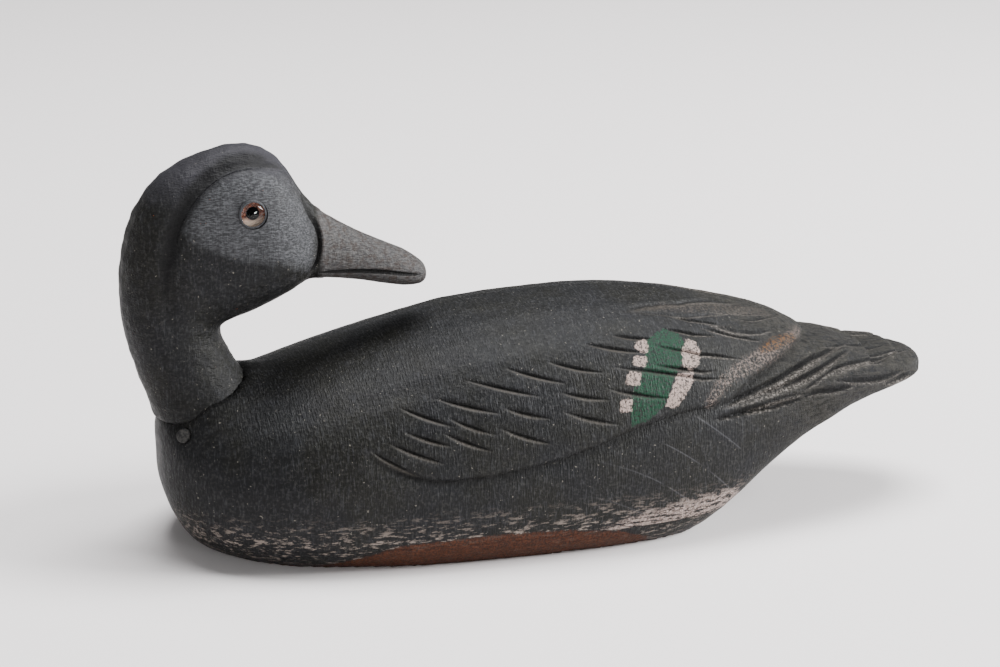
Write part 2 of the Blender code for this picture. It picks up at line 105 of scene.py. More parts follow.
RUMP_CUTS = [
    ([(64, 69), (81, 75), (99, 82), (117, 85)], 1.0, 1.2, 5.0),
    ([(66, 68), (79, 67), (102, 69), (118, 75)], 0.6, 1.0, 1.6),
    ([(96, 64), (107, 60), (117, 60), (128, 64)], 0.9, 1.0, 2.4),
    ([(112, 68), (122, 70), (134, 79)], 0.7, 1.0, 1.6),
    ([(102, 71), (118, 73), (132, 80)], 0.5, 1.0, 1.4),
]
# Painted patches on the hull, as outlines
SPECULUM = [
    (78, 59), (84, 57), (86, 51), (83, 43), (79, 39), (75, 32), (73, 28), (70, 25), (64, 22),
    (58, 20.5), (58, 28), (61, 36), (65, 41), (68, 48), (69, 53),
]
WHITE_BARS = [
    [(65, 53), (69, 54.5), (70, 51), (69, 47.7), (66, 48), (63.5, 50)],
    [(62.5, 47), (68, 46.6), (68.5, 44.5), (66, 41.6), (61.5, 43)],
    [(59, 41), (65, 40), (63, 35), (56.5, 36)],
    [(54.5, 31), (59.5, 30.5), (58.5, 26), (53.5, 26)],
    [(86.5, 54), (90, 52.5), (91.5, 48), (89.5, 42.5), (86, 40.5), (81.5, 42), (83.5, 49)],
    [(79.5, 39.5), (86.5, 40), (85.5, 35), (82, 31), (77, 25.5), (72.5, 27.5), (76, 33)],
]
BARE_PATCH = [(117, 48), (126, 50), (137, 59), (137, 65), (128, 61), (118, 53)]
RUMP_PATCH = [(66, 68), (84, 77), (104, 82), (128, 86), (134, 76), (118, 71), (90, 67)]
STERN_PATCH = [(40, -20), (62, -13), (84, -11), (104, -11), (109, -20), (96, -28), (70, -31), (45, -26)]
# The red-brown patch above the flat bottom: X and Z
RED_PATCH = [
    (-90, -4), (-86, 0.8), (-66, 1.6), (-56, 4.5), (-44, 8.5), (-34, 12), (-15, 13), (5, 14),
    (29, 13), (54, 9.5), (67, 4), (70, -4),
]

# Marks on the head, on both sides: X and Z
CHEEK_GROOVE = [
    (-62, 147), (-68, 152.3), (-80, 154.2), (-90, 152.5), (-100, 146), (-107.5, 137), (-112, 126),
    (-114.5, 112), (-114, 98), (-111, 84),
]
CHEEK_TOP = [
    (-61, 143), (-67, 149.5), (-79, 152.3), (-90, 150.6), (-99, 144.6), (-106, 136.5), (-110, 127),
    (-112, 116),
]
BILL_ROOT = [(-58.5, 109), (-55.2, 113), (-53.6, 120), (-54.6, 126), (-57.5, 131), (-60.5, 138)]
MOUTH = [(-54, 108), (-42, 108), (-30, 107), (-20, 105), (-14.5, 104)]
VALLEY_DEPTH = 2.3
CHEEK = [
    (-108, 129), (-97, 121.5), (-83, 116.5), (-70, 116), (-61, 109.5), (-56.5, 112), (-54.5, 120),
    (-56, 128), (-61, 140), (-68, 149), (-80, 151.8), (-90, 150), (-99, 144), (-105.5, 137),
]


# ---------------------------------------------------------------- carving


def along_path(points, path):
    """Each point's distance from the path, its place along it from 0 to 1, and whether it is above."""
    path = np.asarray(path, float)
    steps = np.diff(path, axis=0)
    lengths = np.hypot(*steps.T)
    starts = np.concatenate([[0], np.cumsum(lengths)])
    away, place = np.full(len(points), 1e6), np.zeros(len(points))
    above = np.ones(len(points), bool)
    for corner, step, length, start in zip(path, steps, lengths, starts):
        offset = points - corner
        t = np.clip(offset @ step / length**2, 0, 1)
        gap = np.hypot(*(offset - t[:, None] * step).T)
        nearer = gap < away
        away[nearer] = gap[nearer]
        place[nearer] = ((start + t * length) / starts[-1])[nearer]
        above[nearer] = (step[0] * offset[:, 1] > step[1] * offset[:, 0])[nearer]
    return away, place, above


def softened(path):
    """The path with its corners cut off, twice."""
    path = np.asarray(path, float)
    for _ in range(2):
        a, b = path[:-1], path[1:]
        between = np.stack([0.75 * a + 0.25 * b, 0.25 * a + 0.75 * b], 1).reshape(-1, 2)
        path = np.vstack([path[:1], between, path[-1:]])
    return path


def inside_by(points, outline):
    """How far inside the closed outline each point is: negative outside it."""
    loop = np.vstack([outline, outline[:1]])
    away = along_path(points, loop)[0]
    crossings = np.zeros(len(points), int)
    for (ax, ay), (bx, by) in zip(loop, loop[1:]):
        spans = (ay > points[:, 1]) != (by > points[:, 1])
        reach = (bx - ax) * (points[:, 1] - ay) / (by - ay + 1e-12) + ax
        crossings += spans & (points[:, 0] < reach)
    return np.where(crossings % 2, away, -away)


def gouge(flat, path, depth, above, below, taper=0.7):
    """A V cut along the path, tapering to its ends. above and below are the widths of its walls.

    Gives the depth in millimetres, and from 0 to 1 how far each point is on the lower wall.
    """
    path = softened(path)
    margin = max(above, below)
    near = np.all((flat > path.min(0) - margin) & (flat < path.max(0) + margin), axis=1)
    taken, lip = np.zeros(len(flat)), np.zeros(len(flat))
    away, place, over = along_path(flat[near], path)
    swell = np.sin(np.pi * np.clip(place, 0.01, 0.99)) ** taper
    wall = np.where(over, above, below) * (0.35 + 0.65 * swell)
    taken[near] = depth * swell * np.clip(1 - away / wall, 0, 1)
    lip[near] = np.where(over, 0, swell * np.clip(1 - np.abs(away / wall - 0.6) / 0.5, 0, 1))
    return taken, lip


def ledge(flat, path, depth, reach, wall=0.9, fade=0.08):
    """Wood taken away below the path, deepest at its foot, so that what is above it stands proud."""
    away, place, over = along_path(flat, softened(path))
    ends = np.clip(np.minimum(place, 1 - place) / fade, 0, 1) ** 0.7
    edge, slope = np.clip(1 - away / wall, 0, 1), np.clip(1 - away / reach, 0, 1) ** 2
    return depth * ends * np.where(over, edge, slope)


def laid_flat(points):
    """The hull's side as a flat drawing: X, and the way round the section from its widest point."""
    angle = np.arctan2(points[:, 2] - WIDEST, np.abs(points[:, 1]))
    return np.stack([points[:, 0], angle * np.interp(points[:, 0], SIDE_X, SIDE_REACH)], 1)


def on_side(marks):
    """Marks given as X and degrees, on the flat drawing of the hull's side."""
    return np.array([(x, math.radians(a) * np.interp(x, SIDE_X, SIDE_REACH)) for x, a in marks])


def rippled(points, size, seed):
    """Smooth noise from about -1 to 1, with waves of that size in millimetres along X, Y and Z."""
    shift = Vector((seed, 7.3 * seed, 3.1 * seed))
    scale = [1 / s for s in size]
    return np.array([
        noise.noise(Vector((x * scale[0], y * scale[1], z * scale[2])) + shift)
        for x, y, z in points.tolist()
    ])


def all_gouges(flat, cuts):
    """The deepest of several cuts at each point, and the lower wall of any of them."""
    taken, lips = np.zeros(len(flat)), np.zeros(len(flat))
    for marks, depth, above, below, taper in cuts:
        cut, lip = gouge(flat, on_side(marks), depth, above, below, taper)
        taken, lips = np.maximum(taken, cut), np.maximum(lips, lip)
    return taken, lips


def feather_cuts(points):
    """The V cuts that mark the feathers on the wing, each curved a little."""
    depth, above, below, taper, sag = 1.05, 0.6, 1.7, 0.75, 0.35
    cuts = []
    for (ax, ay), (bx, by) in FEATHER_CUTS:
        middle = ((ax + bx) / 2, (ay + by) / 2 - sag)
        cuts.append(([(ax, ay), middle, (bx, by)], depth, above, below, taper))
    return all_gouges(laid_flat(points), cuts)


def tail_cuts(points):
    """The long grooves of the tail and the rump."""
    deeper, taper = 1.2, 0.5
    return all_gouges(laid_flat(points), [
        (path, deeper * depth, above, below, taper)
        for path, depth, above, below in TAIL_GROOVES + RUMP_CUTS
    ])


def hull_ledges(points):
    """The step under the wing and behind its end, and the small steps of the tail's middle feathers."""
    flat = laid_flat(points)
    wing = ledge(flat, on_side(WING_EDGE), 1.7, 9.0, wall=1.3)
    end = ledge(flat, on_side(WING_END), 2.0, 12.0, wall=1.5, fade=0.12)
    steps = np.zeros(len(points))
    ridge = np.clip((flat[:, 1] / np.interp(points[:, 0], SIDE_X, SIDE_REACH) - 0.75) / 0.3, 0, 1)
    for x, depth, reach in ((147, 1.8, 15), (172, 1.8, 13), (187, 1.6, 11)):
        behind = points[:, 0] - x + 0.10 * np.abs(points[:, 1])
        drop, slope = np.clip(behind / 0.8, 0, 1), np.clip(1 - behind / reach, 0, 1)
        steps = np.maximum(steps, depth * ridge * drop * slope)
    return np.maximum(wing, end), steps


def head_cuts(points):
    """How deep the carving goes at each point of the head, in millimetres."""
    flat = points[:, [0, 2]]
    sides = np.clip(np.abs(points[:, 1]) / 6 - 0.3, 0, 1)
    away, place, _ = along_path(flat, softened(CHEEK_GROOVE))
    fade = np.clip(np.minimum(place * 6, (1 - place) * 3.0), 0, 1)
    valley = VALLEY_DEPTH * fade * np.exp(-((away / 3.4) ** 2)) * sides
    valley = np.maximum(valley, ledge(flat, CHEEK_TOP, VALLEY_DEPTH, 6.0, wall=1.0, fade=0.15) * sides)
    root = gouge(flat, BILL_ROOT, 1.7, 1.2, 1.4, 0.3)[0]
    mouth = gouge(flat, MOUTH, 2.2, 0.9, 1.3, 0.3)[0] * np.clip(np.abs(points[:, 1]) / 2 - 0.5, 0, 1)
    return valley, np.maximum(root, mouth)


# ---------------------------------------------------------------- mesh helpers


def merged_copy(*names):
    """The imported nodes' meshes in one bmesh, with their loose triangles joined."""
    bm = bmesh.new()
    for name in names:
        bm.from_mesh(NODES[name].data)
    bmesh.ops.remove_doubles(bm, verts=bm.verts, dist=1e-5)
    return bm


def tree_of(name):
    """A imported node's surface, to measure distances from."""
    bm = merged_copy(name)
    tree = BVHTree.FromBMesh(bm)
    bm.free()
    return tree


def keep_outer(bm):
    """Keeps only the joined surface that reaches farthest along +X."""
    kept, ahead = set(), [max(bm.verts, key=lambda v: v.co.x)]
    while ahead:
        vert = ahead.pop()
        if vert not in kept:
            kept.add(vert)
            ahead.extend(edge.other_vert(vert) for edge in vert.link_edges)
    bmesh.ops.delete(bm, geom=[v for v in bm.verts if v not in kept], context="VERTS")


def drop_faces(bm, unwanted):
    """Deletes the faces that the test picks out, and the points they leave behind."""
    bmesh.ops.delete(bm, geom=[f for f in bm.faces if unwanted(f)], context="FACES")
    bmesh.ops.delete(bm, geom=[v for v in bm.verts if not v.link_faces], context="VERTS")


def close_holes(bm, above=-1.0):
    """Fills every hole whose rim is above that height, then those whose rims touch each other."""
    fills = (bmesh.ops.holes_fill, {"sides": 0}), (bmesh.ops.triangle_fill, {"use_beauty": True})
    for fill, settings in fills:
        rims = [e for e in bm.edges if e.is_boundary and e.verts[0].co.z > above]
        if rims:
            fill(bm, edges=rims, **settings)
    bmesh.ops.triangulate(bm, faces=[f for f in bm.faces if len(f.verts) > 4])


def new_object(name, bm):
    """An object in the scene with that shape, which is used up."""
    mesh = bpy.data.meshes.new(name)
    bm.to_mesh(mesh)
    bm.free()
    obj = bpy.data.objects.new(name, mesh)
    bpy.context.scene.collection.objects.link(obj)
    return obj


def apply_modifiers(obj):
    """The object's mesh becomes what its modifiers make of it."""
    bpy.context.view_layer.update()
    made = obj.evaluated_get(bpy.context.evaluated_depsgraph_get())
    mesh = bpy.data.meshes.new_from_object(made)
    obj.modifiers.clear()
    old, obj.data = obj.data, mesh
    bpy.data.meshes.remove(old)


def remeshed(name, bm, voxel, smooth):
    """An even, smoothed skin over the closed shape, as a bmesh."""
    obj = new_object(name, bm)
    remesh = obj.modifiers.new("skin", "REMESH")
    remesh.mode = "VOXEL"
    remesh.voxel_size = voxel * MM
    apply_modifiers(obj)
    even = bmesh.new()
    even.from_mesh(obj.data)
    bpy.data.objects.remove(obj)
    for _ in range(smooth):
        bmesh.ops.smooth_vert(
            even, verts=even.verts, factor=0.5, use_axis_x=True, use_axis_y=True, use_axis_z=True
        )
    return even


def coordinates(verts):
    """The points' places in millimetres, as an array."""
    return np.array([v.co for v in verts]) / MM


def refine(bm, needed):
    """Splits the edges that the test says need it, and squares off what is left round them."""
    bm.verts.index_update()
    marked = needed(coordinates(bm.verts))
    edges = [e for e in bm.edges if marked[e.verts[0].index] or marked[e.verts[1].index]]
    bmesh.ops.subdivide_edges(bm, edges=edges, cuts=1, use_grid_fill=True)
    bmesh.ops.triangulate(bm, faces=[f for f in bm.faces if len(f.verts) > 4])


def cut_by(obj, *cutters):
    """Takes the cutters' shapes out of the object, and removes them."""
    for cutter in cutters:
        modifier = obj.modifiers.new(cutter.name, "BOOLEAN")
        modifier.operation = "DIFFERENCE"
        modifier.solver = "EXACT"
        modifier.object = cutter
    apply_modifiers(obj)
    for cutter in cutters:
        bpy.data.objects.remove(cutter)
    bm = bmesh.new()
    bm.from_mesh(obj.data)
    bmesh.ops.remove_doubles(bm, verts=bm.verts, dist=2e-6)
    bmesh.ops.dissolve_degenerate(bm, edges=bm.edges, dist=1e-6)
    close_holes(bm)
    bm.to_mesh(obj.data)
    bm.free()


def half_of(bm, height, keep_above):
    """A copy of the closed shape above or below that height, closed with a flat face."""
    part = bm.copy()
    bmesh.ops.bisect_plane(
        part, geom=part.verts[:] + part.edges[:] + part.faces[:], dist=1e-7,
        plane_co=(0, 0, height * MM), plane_no=(0, 0, 1), clear_inner=keep_above, clear_outer=not keep_above,
    )
    close_holes(part)
    return part


def keep_in_box(bm):
    """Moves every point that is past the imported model's box back onto it."""
    low, high = CAD_BOX
    for vert in bm.verts:
        vert.co = Vector(min(max(c, a), b) for c, a, b in zip(vert.co, low, high))


def spun(bm, segments):
    """Spins everything in the bmesh once round Z into a closed skin."""
    bmesh.ops.spin(
        bm, geom=bm.verts[:] + bm.edges[:], axis=(0, 0, 1), cent=(0, 0, 0), angle=2 * math.pi,
        steps=segments, use_merge=True,
    )
    bmesh.ops.remove_doubles(bm, verts=bm.verts, dist=1e-7)
    bmesh.ops.recalc_face_normals(bm, faces=bm.faces)


def facing(place, axis):
    """The matrix of something at that place with its Z along the axis."""
    return Matrix.Translation(place) @ Vector(axis).to_track_quat("Z", "Y").to_matrix().to_4x4()


def on_side_of(side, point):
    """A place or direction given for +Y, on that side."""
    return Vector((point[0], side * point[1], point[2]))


def eye_place(side):
    """The place of an eye: its middle, with Z out of the head."""
    return facing(on_side_of(side, EYE_AT) * MM, on_side_of(side, EYE_AXIS))


def nail_place(side):
    """The place of a breast nail: its head, with Z out of the hull."""
    head_at, tip_at = on_side_of(side, NAIL_HEAD), on_side_of(side, NAIL_TIP)
    return facing(head_at * MM, head_at - tip_at)


def turned(name, profile, place, segments):
    """An object turned round Z from (radius, height) points in millimetres, at its place."""
    bm = bmesh.new()
    points = [bm.verts.new(Vector((r, 0, z)) * MM) for r, z in profile]
    for pair in zip(points, points[1:]):
        bm.edges.new(pair)
    spun(bm, segments)
    bmesh.ops.transform(bm, matrix=place, verts=bm.verts)
    return new_object(name, bm)


def finish_piece(obj, body, replaced):
    """Shades a visible piece, hangs it on its body's empty and hides the imported parts that it stands for.
    """
    obj.data.shade_smooth()
    obj.data.set_sharp_from_angle(angle=math.radians(40))
    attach(obj, body)
    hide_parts(*replaced)
    return obj


def give_marks(obj, **marks):
    """Stores a number at each point of the piece, for its paint to follow."""
    for name, values in marks.items():
        layer = obj.data.attributes.new(name, "FLOAT", "POINT")
        layer.data.foreach_set("value", values.astype(np.float32))


def mesh_points(obj):
    """The places of the piece's points in millimetres."""
    points = np.empty(len(obj.data.vertices) * 3, np.float32)
    obj.data.vertices.foreach_get("co", points)
    return points.reshape(-1, 3).astype(float) / MM


# ---------------------------------------------------------------- head


def from_line(point, origin, axis):
    """The point's place along the line, and its distance from it."""
    offset = point - origin
    along = offset.dot(axis)
    return along, (offset - along * axis).length


def in_head_bore(face):
    """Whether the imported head's face is in the dowel's bore or an eye's, which the carving fills."""
    middle = face.calc_center_median()
    if math.hypot(middle.x - DOWEL_X * MM, middle.y) < DOWEL_BORE * MM and middle.z < DOWEL_TOP * MM:
        return True
    for side, _ in SIDES:
        origin, axis = on_side_of(side, EYE_AT) * MM, on_side_of(side, EYE_AXIS).normalized()
        depth, gap = from_line(middle, origin, axis)
        if gap < EYE_BORE * MM and -11 * MM < depth < 3 * MM:
            return all(from_line(v.co, origin, axis)[1] < EYE_BORE_RIM * MM for v in face.verts)
    return False


def carve_head():
    """The head and neck: one carved block with a valley behind the cheek, a bill line and a mouth."""
    bm = merged_copy("head_neck")
    drop_faces(bm, in_head_bore)
    close_holes(bm)
    bm = remeshed("head", bm, 0.75, 5)

    def carved(points):
        valley, lines = head_cuts(points)
        return (lines > 0.02) | (valley > 0.7)

    refine(bm, carved)
    bm.normal_update()
    points = coordinates(bm.verts)
    x, y, z = points.T
    valley, lines = head_cuts(points)
    facets = 0.5 * np.abs(rippled(points, (16, 16, 9), 1)) + 0.22 * np.abs(rippled(points, (6, 6, 3.2), 2))
    rough_neck = np.clip(1 - np.abs(z - 70) / 16, 0, 1) * np.clip((x + 118) / 12, 0, 1)
    tilted = points @ np.array([[0.8, 0, 0.6], [0, 1, 0], [-0.6, 0, 0.8]])
    strokes = 0.5 * rough_neck * np.abs(rippled(tilted, (9, 9, 1.8), 3))
    cheek = np.clip(1 - np.hypot(x + 84, z - 132) / 26, 0, 1)
    taken = valley + lines + facets * (1 - 0.55 * cheek) + strokes - 0.55

    # The foot of the neck flares to meet the hull, and the bill is cut half as deep as the rest
    hull_tree = tree_of("body_shell")
    flare_height, flare_reach, bill_x, foot_z = 1.3, 0.012, -0.052, 0.05
    for vert, depth in zip(bm.verts, taken):
        gap = hull_tree.find_nearest(vert.co, flare_reach)[3]
        near = gap is not None and vert.co.z > foot_z
        flare = flare_height * (1 - gap / flare_reach) ** 2 if near else 0
        vert.co -= vert.normal * (depth * (0.5 if vert.co.x > bill_x else 1) - flare) * MM
    keep_in_box(bm)
    return bm


def eye_sockets():
    """Cutters for the seats of the two eyes."""
    seat = [(0, -5.3), (5.6, -5.3), (5.75, 6), (0, 6)]
    return [turned("socket", seat, eye_place(side), 40) for side, _ in SIDES]


# ---------------------------------------------------------------- hull


def hull_carved(points):
    """Where the hull's carving needs finer faces."""
    ledges, steps = hull_ledges(points)
    return (
        (feather_cuts(points)[0] > 0) | (tail_cuts(points)[0] > 0.02) | (ledges > 0.9) | (steps > 0.4)
    )


def outer_hull():
    """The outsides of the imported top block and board, joined and closed."""
    inner = [tree_of(name) for name in ("head_neck", "neck_dowel", "dowel_nail_left", "dowel_nail_right")]
    flats = (0, 9.85 * MM, 10.15 * MM)  # the bottom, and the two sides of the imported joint
    above_board = 0.02

    def unwanted(face):
        if any(all(abs(v.co.z - flat) < 2e-5 for v in face.verts) for flat in flats):
            return True
        middle = face.calc_center_median()
        return middle.z > above_board and any(tree.find_nearest(middle, 0.5 * MM)[0] for tree in inner)

    bm = merged_copy("body_shell")
    drop_faces(bm, unwanted)
    keep_outer(bm)
    close_holes(bm, above=above_board)
    board = merged_copy("bottom_board")
    drop_faces(board, unwanted)
    keep_outer(board)
    side = bpy.data.meshes.new("side")
    board.to_mesh(side)
    board.free()
    bm.from_mesh(side)
    bpy.data.meshes.remove(side)
    seam = [e for e in bm.edges if e.is_boundary and abs(e.verts[0].co.z - 0.01) < 0.3 * MM]
    bmesh.ops.bridge_loops(bm, edges=seam)
    close_holes(bm)
    bmesh.ops.recalc_face_normals(bm, faces=bm.faces)
    return bm


def carve_hull(head):
    """Top block and bottom board carved as one, with the wings, feather cuts and tail."""
    bm = remeshed("hull", outer_hull(), 1.45, 4)
    refine(bm, hull_carved)
    refine(bm, lambda points: feather_cuts(points)[0] > 0)
    bm.normal_update()
    points = coordinates(bm.verts)
    upright = np.array([v.normal.z for v in bm.verts])
    shown = np.clip((upright + 0.35) / 0.2, 0, 1)
    waves = 0.35 * rippled(points, (30, 22, 14), 4) + 0.10 * rippled(points, (5, 9, 5), 5)
    tail = np.clip((points[:, 0] - 100) / 15, 0, 1)
    rough = 0.45 * np.abs(rippled(points, (14, 5, 2.2), 6)) * tail
    ledges, steps = hull_ledges(points)
    cuts = np.maximum(feather_cuts(points)[0], tail_cuts(points)[0])
    taken = (cuts + ledges + steps + rough) * shown + waves

    # The top block rises to meet the neck, least in front of it, and the bottom is planed flat
    neck = BVHTree.FromBMesh(head)
    fair_height, fair_reach, front = 4.0, 0.016, -0.1
    for vert, depth in zip(bm.verts, taken):
        near = vert.co.x < -0.05 and vert.co.z > 0.035
        gap = neck.find_nearest(vert.co, fair_reach)[3] if near else None
        fair = 0 if gap is None else fair_height * (1 - gap / fair_reach) ** 2.0
        if fair and vert.co.x < front:
            fair *= max(0.15, 1 - (front - vert.co.x) / 0.012)
        vert.co -= vert.normal * (depth - fair) * MM
        if vert.co.z < 0.45 * MM:
            vert.co.z = 0
    keep_in_box(bm)
    return bm


def neck_cutter(head):
    """The foot of the head block, a hair bigger, to let it into the top block."""
    foot = half_of(head, 76, keep_above=False)
    foot.normal_update()
    for vert in foot.verts:
        vert.co += vert.normal * 0.04 * MM
    return new_object("foot", foot)


def nail_holes():
    """Cutters for the countersinks over the breast nails."""
    hole = [(0, -8), (3.05, -8), (3.15, 6), (0, 6)]
    return [turned("nail_hole", hole, nail_place(side), 28) for side, _ in SIDES]


def rounded_prism(front, back, half_width, radius, top):
    """A block with rounded corners, from under the board up to that height."""
    under, same = -2, 0.01
    corners = [(back, 1, 0), (front, 1, 90), (front, -1, 180), (back, -1, 270)]
    bm = bmesh.new()
    outline = []
    for end, side, start in corners:
        centre = (end - math.copysign(radius, end - (front + back) / 2), side * (half_width - radius))
        for step in range(0, 91, 10):
            angle = math.radians(start + step)
            across = (centre[0] + radius * math.cos(angle), centre[1] + radius * math.sin(angle))
            if not outline or math.dist(outline[-1], across) > same:
                outline.append(across)
    if math.dist(outline[0], outline[-1]) < same:
        outline.pop()
    face = bm.faces.new([bm.verts.new(Vector((x, y, under)) * MM) for x, y in outline])
    lifted = bmesh.ops.extrude_face_region(bm, geom=[face])["geom"]
    lifted = [v for v in lifted if isinstance(v, bmesh.types.BMVert)]
    bmesh.ops.translate(bm, verts=lifted, vec=(0, 0, (top - under) * MM))
    bmesh.ops.recalc_face_normals(bm, faces=bm.faces)
    return bm


def board_recesses():
    """What is let into the board: the line tie's pocket, the ballast's recess and the nail heads."""
    made = [
        new_object("pocket", rounded_prism(-87, -54, 13.5, 13.5, 12)),
        new_object("ballast_recess", rounded_prism(14.7, 85.3, 14.3, 4, 5.7)),
    ]
    recess = [(0, -2), (2.8, -2), (2.8, 2.0), (0, 2.0)]
    for x, half_width in ((-62, 39), (-14, 48.5), (38, 48.5), (86, 37.5)):
        for side, _ in SIDES:
            place = Matrix.Translation(Vector((x, side * half_width, 0)) * MM)
            made.append(turned("nail_recess", recess, place, 24))
    return made


head_bm = carve_head()
hull_bm = carve_hull(head_bm)

block = new_object("top_block", half_of(hull_bm, BLOCK_FOOT, keep_above=True))
cut_by(block, neck_cutter(head_bm), *nail_holes())
board = new_object("bottom_board_carved", half_of(hull_bm, BOARD_FACE, keep_above=False))
hull_bm.free()
cut_by(board, *board_recesses())
head = new_object("head_block", head_bm)
cut_by(head, *eye_sockets())

for piece, slot, replaced in (
    (block, "painted_body", ["body_shell"]),
    (board, "board_paint", ["bottom_board"]),
    (head, "painted_head", ["head_neck"]),
):
    finish_piece(piece, "hull", replaced)


# ---------------------------------------------------------------- eyes and fittings


# Profiles of the turned pieces, bottom to top: radius and height above the eye or the nail's head
DOME = [math.pi / 24 * step for step in range(1, 12)]
GLASS = [
    (0, -2.75), (4.6, -2.75), (4.9, -2.55), (5.0, -2.2), (5.0, -0.6),
    *((5.0 * math.cos(angle), -0.6 + 2.5 * math.sin(angle)) for angle in DOME), (0, 1.9),
]
BED = [
    (1.0, -5.0), (5.5, -5.0), (5.6, 0.1), (5.5, 0.5), (5.1, 0.78), (4.75, 0.8), (4.6, 0.66),
    (4.85, 0.3), (5.1, -0.4), (5.15, -3.5), (1.0, -3.5), (1.0, -5.0),
]
IRIS = [(0, -3.4), (4.7, -3.4), (4.75, -3.2), (4.6, -3.0), (0, -3.0)]
PUPIL = [(0, -3.0), (2.2, -3.0), (2.2, -2.85), (2.1, -2.78), (0, -2.78)]
NAIL = [
    (0, -NAIL_LENGTH), (1.1, 2.5 - NAIL_LENGTH), (1.1, -1.4), (1.3, -1.3), (2.85, -1.3), (2.9, -1.1),
    (2.85, -0.45), (2.55, -0.12), (1.9, 0.04), (1.6, -0.06), (0.9, -0.02), (0, 0.12),
]

turned_pieces = []
for side, hand in SIDES:
    place = eye_place(side)
    forward = Matrix.Translation((0.6 * MM, 0, 0))  # the pupil looks a little ahead
    for name, profile, at, segments, slot, node in (
        ("glass_eye_", GLASS, place, 64, "eye_glass", "eye_glass_"),
        ("eye_bed_", BED, place, 64, "putty", "eye_putty_"),
        ("eye_ring_", IRIS, place, 64, "iris_enamel", "eye_iris_"),
        ("eye_dot_", PUPIL, forward @ place, 40, "pupil_enamel", "eye_pupil_"),
        ("neck_nail_", NAIL, nail_place(side), 36, "painted_nail", "dowel_nail_"),
    ):
        piece = turned(name + hand, profile, at, segments)
        turned_pieces.append((finish_piece(piece, "hull", [node + hand]), slot))

# The line ring: a circle of wire spun round Z, then hung by its rim from the staple
WIRE_RADIUS, RING_RADIUS = 1.25 * MM, 10 * MM
HINGE_AT, REST_TILT = (-78, 0, 5.1), 10
ring_bm = bmesh.new()
bmesh.ops.create_circle(ring_bm, segments=18, radius=WIRE_RADIUS)
bmesh.ops.rotate(ring_bm, verts=ring_bm.verts, matrix=Matrix.Rotation(math.pi / 2, 3, "X"))
bmesh.ops.translate(ring_bm, verts=ring_bm.verts, vec=(RING_RADIUS, 0, 0))
spun(ring_bm, 96)
bmesh.ops.translate(ring_bm, verts=ring_bm.verts, vec=(RING_RADIUS, 0, 0))
hinge = Matrix.Translation(Vector(HINGE_AT) * MM) @ Matrix.Rotation(math.radians(REST_TILT), 4, "Y")
bmesh.ops.transform(ring_bm, matrix=hinge, verts=ring_bm.verts)
line_ring = finish_piece(new_object("line_ring", ring_bm), "tie_ring", ["line_tie_ring"])


# ---------------------------------------------------------------- marks for the paint

for piece in (block, board):
    points = mesh_points(piece)
    flat = laid_flat(points)
    worn_gap, worn_place, _ = along_path(flat, softened(on_side(WORN_EDGE)))
    wing_gap, wing_place, wing_over = along_path(flat, softened(on_side(WING_EDGE)))
    feathers, lips = feather_cuts(points)
    grooves, ridges = tail_cuts(points)
    give_marks(
        piece,
        speculum=inside_by(flat, on_side(SPECULUM)),
        bars=np.max([inside_by(flat, on_side(outline)) for outline in WHITE_BARS], axis=0),
        cuts=np.maximum(feathers, 0.7 * grooves),
        lips=np.maximum(lips, 0.8 * ridges),
        ledges=hull_ledges(points)[0] / 2,
        stern=inside_by(flat, on_side(STERN_PATCH)),
        worn=4.6 - worn_gap - 3 * np.abs(worn_place - 0.5),
        bare=inside_by(flat, on_side(BARE_PATCH)),
        rump=inside_by(flat, on_side(RUMP_PATCH)),
        tail=np.clip((points[:, 0] - 96 - 0.35 * (60 - flat[:, 1])) / 30, 0, 1),
        wing=np.where(wing_over, wing_gap, -wing_gap) + 30 * ((wing_place <= 0) | (wing_place >= 1)),
        # Within half a millimetre of the flat bottom, all of it is rubbed through
        redcoat=np.maximum(inside_by(points[:, [0, 2]], np.array(RED_PATCH, float)), 3 - 6 * points[:, 2]),
    )

points = mesh_points(head)
valley, lines = head_cuts(points)
give_marks(
    head,
    valley=valley / VALLEY_DEPTH,
    cuts=lines,
    cheek=inside_by(points[:, [0, 2]], softened(CHEEK + CHEEK[:1])[:-1]),
    bill=points[:, 0] + 55,
)


# ---------------------------------------------------------------- finishes


def colour(sheet_hex):
    """An sRGB colour such as "2b2e31", as the linear colour a socket takes."""
    parts = [int(sheet_hex[i : i + 2], 16) / 255 for i in (0, 2, 4)]
    return (*[c / 12.92 if c <= 0.04045 else ((c + 0.055) / 1.055) ** 2.4 for c in parts], 1)


def add(tree, kind, inputs=(), output=0, **settings):
    """Adds a node with its settings, sets or links its inputs by order or by name, and returns an output."""
    made = tree.nodes.new("ShaderNode" + kind)
    for name, value in settings.items():
        setattr(made, name, value)
    for key, value in inputs.items() if isinstance(inputs, dict) else enumerate(inputs):
        if isinstance(value, bpy.types.NodeSocket):
            tree.links.new(value, made.inputs[key])
        else:
            made.inputs[key].default_value = value
    return made.outputs[output]


def new_finish(name):
    """A new material, its node tree, its shader and the piece's own coordinates."""
    mat = bpy.data.materials.new(name)
    mat.use_nodes = True
    tree = mat.node_tree
    return mat, tree, tree.nodes["Principled BSDF"], add(tree, "TexCoord", output=3)


def brush_over(tree, coat, *layers):
    """Brushes each paint over the last, as far as all the masks that follow it allow.

    A mask is a socket or a number, or else a pattern with the two values between which it fades in
    from 0 to 1, or from and to the two shares that follow them.
    """
    for paint, *masks in layers:
        share, *others = (add(tree, "MapRange", mask) if isinstance(mask, tuple) else mask for mask in masks)
        for other in others:
            share = add(tree, "Math", (share, other), operation="MULTIPLY")
        coat = add(tree, "MixRGB", (share, coat, paint))
    return coat


